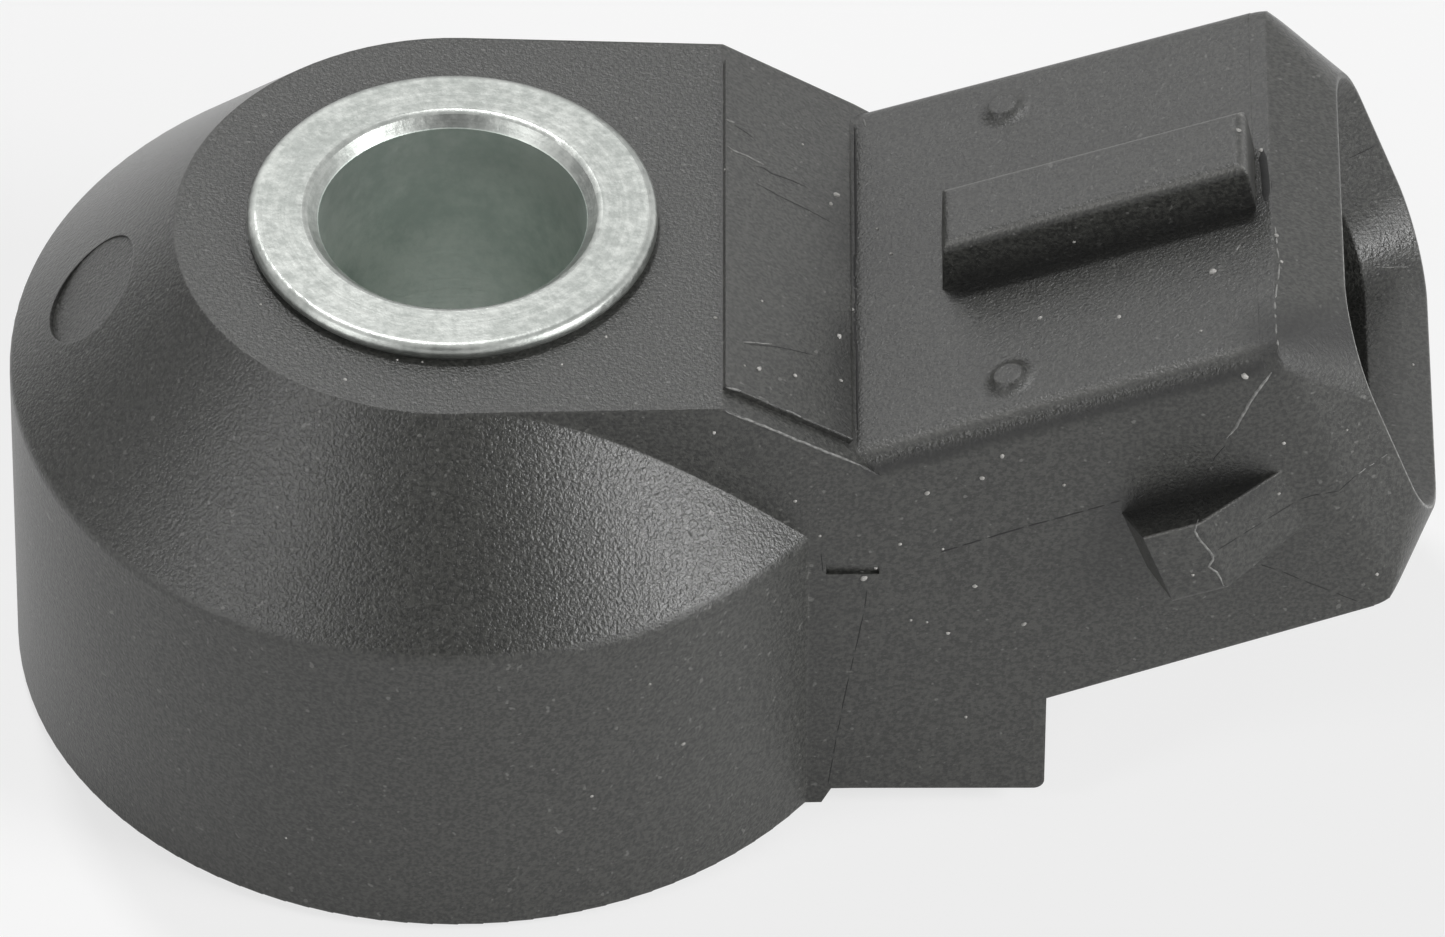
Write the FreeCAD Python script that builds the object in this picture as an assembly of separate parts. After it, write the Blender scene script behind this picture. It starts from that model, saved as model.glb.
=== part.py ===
import FreeCAD, Part

import math
import os

# Vibration sensor for an engine block: a ring of piezo ceramic and a seismic mass clamped on a
# steel pressure sleeve, overmoulded in black glass-filled nylon, with a tilted two-way socket.
# Millimetres. The origin is on the axis of the screw bore, in the steel face that is bolted to
# the engine. +Z runs up the bore and +X points to the side of the socket.

# Pressure sleeve, turned from steel
bore_radius = 4.2
sleeve_wall = 2.4
thread_depth = 0.35
bore_chamfer = 0.4
bore_foot_chamfer = 0.3
ring_proud = 0.6
ring_flare = 0.17
ring_undercut = 0.22
ring_round = 0.3
bore_edge_round = 0.25
flange_thickness = 2.3
engine_face_proud = 0.3
flange_groove_depth = 0.6
flange_groove_width = 0.8
anchor_groove_depth = 0.5
anchor_groove_width = 0.7

# Sensing stack, from the sleeve outwards and from the flange upwards
tube_clearance = 0.05
insulating_tube_wall = 0.35
stack_width = 3.75
insulating_disc_overhang = 0.2
insulating_disc_thickness = 0.25
contact_disc_thickness = 0.3
piezo_thickness = 3.0
piezo_chamfer = 0.2
mass_thickness = 4.0
mass_chamfer = 0.3
washer_inset = 0.8
washer_thickness = 0.6
washer_cone_rise = 0.5
nut_width = 2.0
nut_height = 2.4
nut_slot_width = 1.6
nut_slot_depth = 0.9
nut_slot_count = 4
thread_clearance = 0.03
mould_clearance = 0.02

# Round part of the housing
side_cover = 2.95
cover_over_nut = 3.4
cone_height = 5.55
top_land = 2.46
foot_round = 0.06
shoulder_round = 0.5
mark_radius = 1.95
mark_depth = 0.15

# Neck between the round part and the connector
flat_end_x = 8.43
neck_slope = 30.0
neck_taper = 1.73
block_end_x = 18.65
block_lift = 0.6
block_corner_round = 0.35
foot_tab_length = 0.45
foot_tab_slant = 0.3
pad_margin = 0.78
pad_thickness = 0.2
pad_end_gap = 0.25

# Terminals, cut from brass strip
blade_width = 2.8
blade_thickness = 0.8
blade_pitch = 5.0
blade_recess = 3.8
tip_taper = 1.2
tip_width = 1.6
tip_thickness = 0.35
foot_length = 1.9
foot_clearance = 0.2
lug_width = 2.4
lug_overhang = 0.15

# Hollow of the socket, round the two blades
room_beside_blades = 1.85
room_above_blades = 3.2
cavity_corner = 1.7
cavity_depth = 12.0
cavity_draft = 0.5
lead_in_depth = 1.74
lead_in_flare_side = 1.18
lead_in_flare_top = 0.92
rim_corner = 2.8
rim_land = 0.12

# Connector round the socket, on an axis that is counted from below the axis of the bore
connector_tilt = 20.0
socket_axis_rise = 3.47
mouth_reach = 32.35
nose_length = 1.85
nose_step = 0.01
collar_softness = 0.54
collar_facets = 6
side_wall = 2.49
roof_wall = 2.34
floor_wall = 1.77
underside_draft = 1.5
connector_top_round = 0.9
connector_bottom_round = 0.12
connector_overlap = 3.9

# Coding rib, ejector pips, latch wedges and the notches in the side walls
rib_from_valley = 2.7
rib_front_gap = 0.25
rib_front_lean = 0.25
rib_width = 2.8
rib_height = 1.7
rib_round = 0.35
pip_from_mouth = 10.5
pip_inset = 1.98
pip_radius = 1.0
pip_height = 0.22
pip_flat_radius = 0.45
pip_bulge = 0.12
wedge_from_mouth = 8.5
wedge_rear_lean = 0.68
wedge_flat = 1.8
wedge_ramp = 2.65
wedge_top_rise = 1.15
wedge_height = 2.85
wedge_tip_shrink = 0.4
wedge_proud = 1.38
notch_from_corner = 0.5
notch_length = 1.65
notch_below_shoulder = 1.55
notch_height = 0.5
notch_depth = 0.14

# Reach of the cutting shapes, well past the whole part
far = 60.0

# Radii, from the sleeve outwards
thread_radius = bore_radius + sleeve_wall
sleeve_neck_radius = thread_radius - thread_depth
ring_radius = sleeve_neck_radius + ring_flare
tube_inner = thread_radius + tube_clearance
tube_outer = tube_inner + insulating_tube_wall
stack_bore = tube_outer + tube_clearance
stack_radius = stack_bore + stack_width
disc_radius = stack_radius + insulating_disc_overhang
flange_radius = disc_radius
washer_radius = stack_radius - washer_inset
nut_radius = thread_radius + nut_width
body_radius = disc_radius + side_cover
top_radius = sleeve_neck_radius + top_land
riser_x = disc_radius + foot_clearance + foot_length

# Levels up the bore
nylon_foot = engine_face_proud
lower_disc_z = flange_thickness
lower_contact_z = lower_disc_z + insulating_disc_thickness
piezo_z = lower_contact_z + contact_disc_thickness
upper_contact_z = piezo_z + piezo_thickness
upper_disc_z = upper_contact_z + contact_disc_thickness
mass_z = upper_disc_z + insulating_disc_thickness
washer_z = mass_z + mass_thickness
nut_z = washer_z + washer_cone_rise + washer_thickness
nut_top = nut_z + nut_height
nylon_top = nut_top + cover_over_nut
nylon_shoulder = nylon_top - cone_height
sleeve_top = nylon_top + ring_proud

# The connector's own directions
tilt = math.radians(connector_tilt)
connector_origin = FreeCAD.Vector(0, 0, nylon_foot)
along = FreeCAD.Vector(math.cos(tilt), 0, math.sin(tilt))
across = FreeCAD.Vector(0, 1, 0)
upward = FreeCAD.Vector(-math.sin(tilt), 0, math.cos(tilt))

# Places along the connector and half sizes across it
cavity_half_width = (blade_pitch + blade_width) / 2 + room_beside_blades
cavity_half_height = blade_thickness / 2 + room_above_blades
rim_half_width = cavity_half_width + lead_in_flare_side
rim_half_height = cavity_half_height + lead_in_flare_top
collar_half_width = cavity_half_width + side_wall
height_above_axis = cavity_half_height + roof_wall
height_below_axis = cavity_half_height + floor_wall
connector_top = socket_axis_rise + height_above_axis
connector_bottom = socket_axis_rise - height_below_axis
collar_line = mouth_reach - nose_length
nose_root = collar_line - collar_softness
throat = mouth_reach - lead_in_depth
cavity_floor = mouth_reach - cavity_depth
blade_tip = mouth_reach - blade_recess


def tilted(s, y, n):
    """Point at s along the connector, y across it and n above its line of reference."""
    return connector_origin + along * s + across * y + upward * n


def meet(a, a_dir, b, b_dir):
    """Crossing of two lines in a plane, each given by a point and a direction."""
    turn = a_dir[0] * b_dir[1] - a_dir[1] * b_dir[0]
    t = ((b[0] - a[0]) * b_dir[1] - (b[1] - a[1]) * b_dir[0]) / turn
    return (a[0] + t * a_dir[0], a[1] + t * a_dir[1])


def outline(corners, place):
    """Closed wire through corners (u, v) or (u, v, radius), put in space by place(u, v)."""
    points = [FreeCAD.Vector(c[0], c[1], 0) for c in corners]
    spans = []
    for i, corner in enumerate(corners):
        here = points[i]
        radius = corner[2] if len(corner) > 2 else 0
        if radius == 0:
            spans.append((here, here, here))
            continue
        back = (points[i - 1] - here).normalize()
        ahead = (points[(i + 1) % len(points)] - here).normalize()
        half = back.getAngle(ahead) / 2
        inward = (back + ahead).normalize()
        centre = here + inward * (radius / math.sin(half))
        reach = radius / math.tan(half)
        spans.append((here + back * reach, centre - inward * radius, here + ahead * reach))
    edges = []
    for i, (start, middle, end) in enumerate(spans):
        following = spans[(i + 1) % len(spans)][0]
        if (end - start).Length > 1e-6:
            arc = [place(p.x, p.y) for p in (start, middle, end)]
            edges.append(Part.Arc(*arc).toShape())
        if (following - end).Length > 1e-6:
            edges.append(Part.makeLine(place(end.x, end.y), place(following.x, following.y)))
    return Part.Wire(edges)


def revolved(corners):
    """Solid of revolution about the bore's axis from a closed half section of (r, z) corners."""
    face = Part.Face(outline(corners, lambda r, z: FreeCAD.Vector(r, 0, z)))
    return face.revolve(FreeCAD.Vector(0, 0, 0), FreeCAD.Vector(0, 0, 1), 360)


def ring(inner, outer, z, height, chamfer=0.0):
    """Flat ring about the bore's axis, with its outer edges chamfered if asked."""
    top = z + height
    if chamfer == 0:
        return revolved([(inner, z), (outer, z), (outer, top), (inner, top)])
    lower = [(inner, z), (outer - chamfer, z), (outer, z + chamfer)]
    upper = [(outer, top - chamfer), (outer - chamfer, top), (inner, top)]
    return revolved(lower + upper)


def plate(corners, half_width, middle_y=0.0):
    """Side view of (x, z) corners, made into a plate of equal reach either side of middle_y."""
    wire = outline(corners, lambda x, z: FreeCAD.Vector(x, middle_y - half_width, z))
    return Part.Face(wire).extrude(FreeCAD.Vector(0, 2 * half_width, 0))


def section(s, half_width, above, below, top_round, bottom_round, middle_y=0.0):
    """Rounded rectangle square to the socket's axis, at s along it."""
    corners = [
        (middle_y + half_width, socket_axis_rise + above, top_round),
        (middle_y - half_width, socket_axis_rise + above, top_round),
        (middle_y - half_width, socket_axis_rise - below, bottom_round),
        (middle_y + half_width, socket_axis_rise - below, bottom_round),
    ]
    return outline(corners, lambda y, n: tilted(s, y, n))


def even_section(s, half_width, half_height, corner):
    return section(s, half_width, half_height, half_height, corner, corner)


def lofted(first, last):
    return Part.makeLoft([first, last], True, True)


def edges_along(shape, start, end):
    """Straight edges of a shape that the side view shows lying in the line from start to end."""
    line = (end - start).normalize()
    normal = line.cross(across)
    found = []
    for edge in shape.Edges:
        ends = [v.Point for v in edge.Vertexes]
        if len(ends) < 2 or any(abs((p - start).dot(normal)) > 1e-4 for p in ends):
            continue
        if abs((ends[1] - ends[0]).normalize().dot(line)) > 0.9:
            found.append(edge)
    return found


# Side view of the neck: its slope falls from the flat top to a valley, where the connector rises
slope = math.radians(neck_slope)
slope_dir = FreeCAD.Vector(math.cos(slope), 0, -math.sin(slope))
slope_out = FreeCAD.Vector(math.sin(slope), 0, math.cos(slope))
slope_start = FreeCAD.Vector(flat_end_x, 0, nylon_top)
top_line = tilted(0, 0, connector_top)
connector_axis = tilted(0, 0, socket_axis_rise)
valley_x, valley_z = meet(
    (slope_start.x, slope_start.z), (slope_dir.x, slope_dir.z), (top_line.x, top_line.z), (along.x, along.z)
)
valley = FreeCAD.Vector(valley_x, 0, valley_z)
connector_start = (valley - connector_origin).dot(along) - connector_overlap

# Plan view: two walls leave the round top at a tangent, then take up the connector's own draft
taper = math.radians(neck_taper)
tangent_x = top_radius * math.sin(taper)
tangent_y = top_radius * math.cos(taper)
valley_half_width = top_radius / math.cos(taper) - valley_x * math.tan(taper)
collar_top_x = tilted(collar_line, 0, connector_top).x
connector_draft = (valley_half_width - collar_half_width) / (collar_top_x - valley_x)
wall_corner_x = math.sqrt(body_radius**2 - valley_half_width**2)


def wall_y(x):
    """Half the width of the neck and the connector at x."""
    if x < valley_x:
        return top_radius / math.cos(taper) - x * math.tan(taper)
    return valley_half_width - (x - valley_x) * connector_draft


def upright_prism(near_side):
    """Upright prism whose plan view is a line of (x, y) points and its mirror image."""
    corners = near_side + [(x, -y) for x, y in reversed(near_side)]
    wire = outline(corners, lambda x, y: FreeCAD.Vector(x, y, -far))
    return Part.Face(wire).extrude(FreeCAD.Vector(0, 0, 2 * far))


def neck_walls():
    """The walls leave the round top at a tangent and take up the connector's draft at the valley."""
    return upright_prism(
        [(0, -tangent_y), (tangent_x, -tangent_y), (valley_x, -valley_half_width), (far, -wall_y(far))]
    )


def connector_walls():
    return upright_prism([(0, -valley_half_width - valley_x * connector_draft), (far, -wall_y(far))])


def round_body():
    """Cylinder and cone of the overmould, with a round mark on the cone opposite the socket."""
    corners = [
        (0, nylon_foot),
        (body_radius, nylon_foot, foot_round),
        (body_radius, nylon_shoulder, shoulder_round),
        (top_radius, nylon_top),
        (0, nylon_top),
    ]
    out = FreeCAD.Vector(-cone_height, 0, body_radius - top_radius).normalize()
    mid_cone = FreeCAD.Vector(-(body_radius + top_radius) / 2, 0, (nylon_shoulder + nylon_top) / 2)
    seat = mid_cone - out * mark_depth
    return revolved(corners).cut(Part.makeCylinder(mark_radius, far, seat, out))


def neck():
    """Neck with its slope, the block under the connector and the small tab at its foot."""
    block_z = nylon_foot + block_lift
    tab_x = wall_corner_x + foot_tab_length
    axis_x, axis_z = meet((block_end_x, 0), (0, 1), (connector_axis.x, connector_axis.z), (along.x, along.z))
    corners = [
        (0, nylon_foot),
        (tab_x, nylon_foot),
        (tab_x + foot_tab_slant, block_z),
        (block_end_x, block_z, block_corner_round),
        (axis_x, axis_z),
        (valley_x, valley_z),
        (flat_end_x, nylon_top),
        (0, nylon_top),
    ]
    return plate(corners, far).common(neck_walls())


def neck_pad():
    """Thin raised pad on the neck's slope."""
    end = valley - slope_dir * pad_end_gap
    raised = slope_out * pad_thickness
    points = [slope_start - raised, end - raised, end + raised, slope_start + raised]
    return plate([(p.x, p.z) for p in points], valley_half_width - pad_margin)


def connector_body():
    """Tapered box of the connector up to the root of the nose, with its long edges rounded."""
    points = [
        tilted(connector_start, 0, underside_level(connector_start)),
        tilted(nose_root, 0, underside_level(nose_root)),
        tilted(nose_root, 0, connector_top),
        tilted(connector_start, 0, connector_top),
    ]
    box = plate([(p.x, p.z) for p in points], far).common(connector_walls())
    box = box.makeFillet(connector_top_round, edges_along(box, points[2], points[3]))
    return box.makeFillet(connector_bottom_round, edges_along(box, points[0], points[1]))


def underside_level(s):
    return connector_bottom - (collar_line - s) * math.tan(math.radians(underside_draft))


def nose_section(along_nose):
    """Outline of the nose at -1 to 1 across the softened collar edge, which is sharp on top."""
    s = collar_line + along_nose * collar_softness
    bevelled = max(0.0, s - collar_line) / nose_length
    past = (1 + along_nose) / 2
    eased = past**2 * collar_softness / nose_length

    def level(body_level, rim_level, share):
        return body_level + (rim_level - body_level) * share

    top = level(connector_top, socket_axis_rise + rim_half_height + rim_land, bevelled) - nose_step
    bottom = level(underside_level(s), socket_axis_rise - rim_half_height - rim_land, eased) + nose_step
    corners = []
    for side, n, corner in (
        (1, top, connector_top_round),
        (-1, top, connector_top_round),
        (-1, bottom, connector_bottom_round),
        (1, bottom, connector_bottom_round),
    ):
        half_width = level(wall_y(tilted(s, 0, n).x), rim_half_width + rim_land, eased) - nose_step
        corners.append((side * half_width, n, level(corner, rim_corner, bevelled)))
    return outline(corners, lambda y, n: tilted(s, y, n))


def nose():
    """Bevelled nose from the connector's box to the thin rim round the mouth."""
    sections = [nose_section(2 * i / collar_facets - 1) for i in range(collar_facets + 1)]
    sections.append(even_section(mouth_reach, rim_half_width + rim_land, rim_half_height + rim_land, rim_corner))
    return Part.makeLoft(sections, True, True)


def socket_hollow():
    """Flared lead-in and the drafted cavity behind it, which takes the plug."""
    narrowing = (cavity_depth - lead_in_depth) * math.tan(math.radians(cavity_draft))
    mouth = even_section(mouth_reach, rim_half_width, rim_half_height, rim_corner)
    neck_of_it = even_section(throat, cavity_half_width, cavity_half_height, cavity_corner)
    floor = even_section(
        cavity_floor, cavity_half_width - narrowing, cavity_half_height - narrowing, cavity_corner
    )
    return lofted(floor, neck_of_it).fuse(lofted(neck_of_it, mouth))


def coding_rib():
    """Long rib on the connector: nearly square to the axis in front, upright at the rear."""
    front = collar_line - rib_front_gap
    top = connector_top + rib_height
    sunk = connector_top - rib_height
    corners = []
    for n, is_front in ((sunk, False), (sunk, True), (top, True), (top, False)):
        if is_front:
            s = front - rib_front_lean * (top - n) / rib_height
        else:
            s = (valley_x + rib_from_valley + n * math.sin(tilt)) / math.cos(tilt)
        point = tilted(s, 0, n)
        corners.append((point.x, point.z))
    rib = plate(corners, rib_width / 2)
    at_top = [
        e for e in rib.Edges
        if all(abs((v.Point - connector_origin).dot(upward) - top) < 1e-6 for v in e.Vertexes)
    ]
    return rib.makeFillet(rib_round, at_top)


def ejector_pip(side):
    """Low dome, flat on top, that an ejector pin left on the connector's top face."""
    base = tilted(mouth_reach - pip_from_mouth, side * (collar_half_width - pip_inset), connector_top)
    crown = base + upward * pip_height
    crown_edge = crown + along * pip_flat_radius
    rim = base + along * pip_radius
    chord = crown_edge - rim
    middle = (rim + crown_edge) / 2 + chord.cross(across).normalize() * (chord.Length * pip_bulge)
    foot = base - upward * pip_height
    rim_foot = rim - upward * pip_height
    corners = [crown_edge, crown, foot, rim_foot, rim]
    sides = [Part.makeLine(p, q) for p, q in zip(corners, corners[1:])]
    dome = Part.Arc(rim, middle, crown_edge).toShape()
    return Part.Face(Part.Wire(sides + [dome])).revolve(base, upward, 360)


def latch_wedge(side):
    """Ramped wedge on one side of the connector for the plug's latch, with a slanted underside."""
    top = socket_axis_rise + wedge_top_rise
    foot = top - wedge_height
    rear = mouth_reach - wedge_from_mouth
    flat_start = rear + wedge_rear_lean
    flat_end = flat_start + wedge_flat
    wall = wall_y(tilted(flat_start, 0, top).x)
    levels = []
    for n, shrink in ((foot, wedge_tip_shrink), (top, 0.0)):
        points = [
            tilted(rear - wedge_rear_lean, side * (wall - wedge_proud), n + 2 * shrink),
            tilted(flat_start, side * (wall + wedge_proud), n),
            tilted(flat_end, side * (wall + wedge_proud), n),
            tilted(flat_end + 2 * wedge_ramp, side * (wall - wedge_proud), n + 2 * shrink),
        ]
        levels.append(Part.makePolygon(points + points[:1]))
    return lofted(*levels)


def side_notch(side):
    """Shallow notch in a side wall of the neck, deepest at its lower edge."""
    x = wall_corner_x + notch_from_corner
    z = nylon_shoulder - notch_below_shoulder
    wall = wall_y(x)
    profile = [
        (wall - notch_depth, z),
        (wall + notch_depth, z),
        (wall + notch_depth, z + notch_height),
        (wall, z + notch_height),
    ]
    points = [FreeCAD.Vector(x, side * y, h) for y, h in profile]
    face = Part.Face(Part.makePolygon(points + points[:1]))
    return face.extrude(FreeCAD.Vector(notch_length, 0, 0))


def pressure_sleeve():
    """Flanged steel sleeve that takes the clamping force of the screw past the nylon."""
    groove_z = (nylon_foot + flange_thickness - flange_groove_width) / 2
    groove_top = groove_z + flange_groove_width
    groove_radius = flange_radius - flange_groove_depth
    anchor_z = (nut_top + nylon_top - anchor_groove_width) / 2
    anchor_top = anchor_z + anchor_groove_width
    anchor_radius = sleeve_neck_radius - anchor_groove_depth
    return revolved(
        [
            (bore_radius, bore_foot_chamfer),
            (bore_radius + bore_foot_chamfer, 0),
            (flange_radius - nylon_foot, 0),
            (flange_radius, nylon_foot),
            (flange_radius, groove_z),
            (groove_radius, groove_z),
            (groove_radius, groove_top),
            (flange_radius, groove_top),
            (flange_radius, flange_thickness),
            (thread_radius, flange_thickness),
            (thread_radius, nut_top),
            (sleeve_neck_radius, nut_top),
            (sleeve_neck_radius, anchor_z),
            (anchor_radius, anchor_z),
            (anchor_radius, anchor_top),
            (sleeve_neck_radius, anchor_top),
            (sleeve_neck_radius, nylon_top),
            (ring_radius, nylon_top + ring_undercut),
            (ring_radius, sleeve_top, ring_round),
            (bore_radius + bore_chamfer, sleeve_top, bore_edge_round),
            (bore_radius, sleeve_top - bore_chamfer),
        ]
    )


def contact_disc(z, side):
    """Brass ring with a lug that reaches out to the foot of its terminal."""
    disc = ring(stack_bore, stack_radius, z, contact_disc_thickness)
    lug_end = riser_x + blade_thickness / 2 + lug_overhang
    lug_start = (stack_bore + stack_radius) / 2
    corner = FreeCAD.Vector(lug_start, side * blade_pitch / 2 - lug_width / 2, z)
    lug = Part.makeBox(lug_end - lug_start, lug_width, contact_disc_thickness, corner)
    return disc.fuse(lug).removeSplitter()


def spring_washer():
    """Coned spring washer: its inner edge stands higher than its outer one."""
    return revolved(
        [
            (washer_radius, washer_z),
            (washer_radius, washer_z + washer_thickness),
            (stack_bore, nut_z),
            (stack_bore, nut_z - washer_thickness),
        ]
    )


def ring_nut():
    """Round nut with spanner slots in its top face, which clamps the stack."""
    nut = ring(thread_radius + thread_clearance, nut_radius, nut_z, nut_height)
    for i in range(nut_slot_count):
        corner = FreeCAD.Vector(0, -nut_slot_width / 2, nut_top - nut_slot_depth)
        slot = Part.makeBox(far, nut_slot_width, far, corner)
        slot.rotate(FreeCAD.Vector(0, 0, 0), FreeCAD.Vector(0, 0, 1), 360 / nut_slot_count * (i + 0.5))
        nut = nut.cut(slot)
    return nut


def strip(line, thickness):
    """Corners of a bent strip of even thickness about a centre line of side-view points."""
    sides = []
    for sign in (1, -1):
        offset = []
        for a, b in zip(line, line[1:]):
            run = (b - a).normalize()
            push = run.cross(across) * (sign * thickness / 2)
            offset.append((a + push, b + push, run))
        corners = [offset[0][0]]
        for (_, end, run), (start, _, following) in zip(offset, offset[1:]):
            x, z = meet((end.x, end.z), (run.x, run.z), (start.x, start.z), (following.x, following.z))
            corners.append(FreeCAD.Vector(x, 0, z))
        sides.append(corners + [offset[-1][1]])
    return [(p.x, p.z) for p in sides[0] + sides[1][::-1]]


def terminal(side, lug_z):
    """Brass terminal: a blade in the socket, a riser behind it and a foot on its lug."""
    middle_y = side * blade_pitch / 2
    foot_z = lug_z + contact_disc_thickness + blade_thickness / 2
    bend_x, bend_z = meet(
        (connector_axis.x, connector_axis.z), (along.x, along.z), (riser_x, 0), (0, 1)
    )
    line = [
        tilted(blade_tip - tip_taper, 0, socket_axis_rise),
        FreeCAD.Vector(bend_x, 0, bend_z),
        FreeCAD.Vector(riser_x, 0, foot_z),
        FreeCAD.Vector(riser_x - foot_length, 0, foot_z),
    ]
    body = plate(strip(line, blade_thickness), blade_width / 2, middle_y)
    full = blade_thickness / 2
    thin = tip_thickness / 2
    root = section(blade_tip - tip_taper, blade_width / 2, full, full, 0, 0, middle_y)
    tip = section(blade_tip, tip_width / 2, thin, thin, 0, 0, middle_y)
    return body.fuse(lofted(root, tip)).removeSplitter()


def stack_room():
    """Space that the sensing stack takes up inside the overmould."""
    stack_height = washer_z - flange_thickness
    discs = ring(thread_radius, disc_radius + mould_clearance, flange_thickness, stack_height)
    washer = ring(thread_radius, washer_radius + mould_clearance, washer_z, nut_z - washer_z)
    nut = ring(thread_radius, nut_radius + mould_clearance, nut_z, nut_height)
    return discs.fuse([washer, nut])


def housing(inserts):
    """Whole overmould, less the socket, the bore and the metal that it was moulded round."""
    added = [neck(), neck_pad(), connector_body(), nose(), coding_rib()]
    added += [make(side) for side in (-1, 1) for make in (ejector_pip, latch_wedge)]
    body = round_body().fuse(added).removeSplitter()
    core_radius = (bore_radius + sleeve_neck_radius) / 2
    core = Part.makeCylinder(core_radius, far, FreeCAD.Vector(0, 0, 0))
    removed = [socket_hollow(), core, stack_room(), side_notch(-1), side_notch(1)]
    return body.cut(removed + inserts)


sleeve = pressure_sleeve()
lower_contact = contact_disc(lower_contact_z, -1)
upper_contact = contact_disc(upper_contact_z, 1)
near_terminal = terminal(-1, lower_contact_z)
far_terminal = terminal(1, upper_contact_z)

parts = {
    "housing": housing([sleeve, lower_contact, upper_contact, near_terminal, far_terminal]),
    "pressure_sleeve": sleeve,
    "insulating_tube": ring(tube_inner, tube_outer, lower_disc_z, washer_z - lower_disc_z),
    "lower_insulating_disc": ring(stack_bore, disc_radius, lower_disc_z, insulating_disc_thickness),
    "lower_contact_disc": lower_contact,
    "piezo_ring": ring(stack_bore, stack_radius, piezo_z, piezo_thickness, piezo_chamfer),
    "upper_contact_disc": upper_contact,
    "upper_insulating_disc": ring(stack_bore, disc_radius, upper_disc_z, insulating_disc_thickness),
    "seismic_mass": ring(stack_bore, stack_radius, mass_z, mass_thickness, mass_chamfer),
    "spring_washer": spring_washer(),
    "ring_nut": ring_nut(),
    "left_terminal": near_terminal,
    "right_terminal": far_terminal,
}

os.makedirs("parts", exist_ok=True)
for name, shape in parts.items():
    if not shape.isValid() or len(shape.Solids) != 1:
        raise RuntimeError(name + " is not one valid solid")
    shape.exportStep("parts/" + name + ".step")
    print(name, round(shape.Volume, 2), "mm3")
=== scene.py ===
import math
import random

import bmesh
import bpy
from mathutils import Matrix, Vector
from mathutils.bvhtree import BVHTree


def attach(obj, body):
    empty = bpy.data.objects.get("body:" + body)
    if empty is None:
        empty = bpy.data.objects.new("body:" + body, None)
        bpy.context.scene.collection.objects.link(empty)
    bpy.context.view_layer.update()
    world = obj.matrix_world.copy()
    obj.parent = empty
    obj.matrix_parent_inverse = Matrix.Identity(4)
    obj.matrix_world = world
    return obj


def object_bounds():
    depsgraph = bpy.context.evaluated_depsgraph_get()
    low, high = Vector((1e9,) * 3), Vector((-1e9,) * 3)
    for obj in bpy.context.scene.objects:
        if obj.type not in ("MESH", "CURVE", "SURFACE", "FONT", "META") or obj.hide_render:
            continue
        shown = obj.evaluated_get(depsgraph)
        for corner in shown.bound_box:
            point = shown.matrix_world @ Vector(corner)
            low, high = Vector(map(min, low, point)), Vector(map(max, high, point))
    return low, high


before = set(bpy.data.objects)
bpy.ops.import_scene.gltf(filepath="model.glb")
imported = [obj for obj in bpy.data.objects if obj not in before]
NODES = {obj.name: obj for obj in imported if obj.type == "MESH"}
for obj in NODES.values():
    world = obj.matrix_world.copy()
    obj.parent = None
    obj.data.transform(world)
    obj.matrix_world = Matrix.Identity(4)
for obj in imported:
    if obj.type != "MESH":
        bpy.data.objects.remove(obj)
CAD_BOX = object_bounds()

MM = 0.001
PHOTO_WIDTH, PHOTO_HEIGHT = 1445, 937

# Measures of the CAD that the looks follow, in mm
NYLON_FOOT = 0.3
BORE_RADIUS = 4.2
TILT = math.radians(20)
RIB_TOP, RIB_REAR, RIB_FRONT = 11.08, 20.45, 30.2
# Lip of the socket's mouth: reach of the mouth, rise of its axis, half sizes and corner
MOUTH_REACH, MOUTH_RISE = 32.35, 3.47
LIP_HALF_WIDTH, LIP_HALF_HEIGHT, LIP_CORNER = 6.99, 4.57, 2.8


def point(x, y, z):
    """Point in metres from mm."""
    return Vector((x, y, z)) * MM


def tilted(along, across, above):
    """Point in metres from mm along the socket, across it and above it, as in the CAD."""
    x = along * math.cos(TILT) - above * math.sin(TILT)
    z = along * math.sin(TILT) + above * math.cos(TILT) + NYLON_FOOT
    return point(x, across, z)


def new_object(name, data):
    thing = bpy.data.objects.new(name, data)
    bpy.context.scene.collection.objects.link(thing)
    return thing


# Camera
# The photograph's view: angles in degrees, lengths in mm, focal length in photo pixels
CAM_AZIMUTH, CAM_ELEVATION, CAM_ROLL = -0.318, 43.170, 0.460
CAM_DISTANCE, CAM_RIGHT, CAM_UP = 519.0, 8.520, 4.751
CAM_FOCAL = 31.336 * CAM_DISTANCE
SENSOR_WIDTH = 36.0
# Nearest and farthest that the camera sees, in metres
CLIP_START, CLIP_END = 0.05, 20.0


def camera_axes():
    """The camera's right, up and back."""
    a, e, r = (math.radians(v) for v in (CAM_AZIMUTH, CAM_ELEVATION, CAM_ROLL))
    back = Vector((math.sin(a) * math.cos(e), -math.cos(a) * math.cos(e), math.sin(e)))
    right = Vector((math.cos(a), math.sin(a), 0))
    up = back.cross(right)
    return (
        right * math.cos(r) + up * math.sin(r),
        up * math.cos(r) - right * math.sin(r),
        back,
    )


RIGHT, UP, BACK = camera_axes()
EYE = (RIGHT * CAM_RIGHT + UP * CAM_UP + BACK * CAM_DISTANCE + Vector((0, 0, NYLON_FOOT))) * MM


def make_camera():
    data = bpy.data.cameras.new("camera")
    data.sensor_width = SENSOR_WIDTH
    data.lens = SENSOR_WIDTH * CAM_FOCAL / PHOTO_WIDTH
    data.clip_start, data.clip_end = CLIP_START, CLIP_END
    camera = new_object("camera", data)
    placing = Matrix((RIGHT, UP, BACK)).transposed().to_4x4()
    placing.translation = EYE
    camera.matrix_world = placing
    bpy.context.scene.camera = camera


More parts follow.
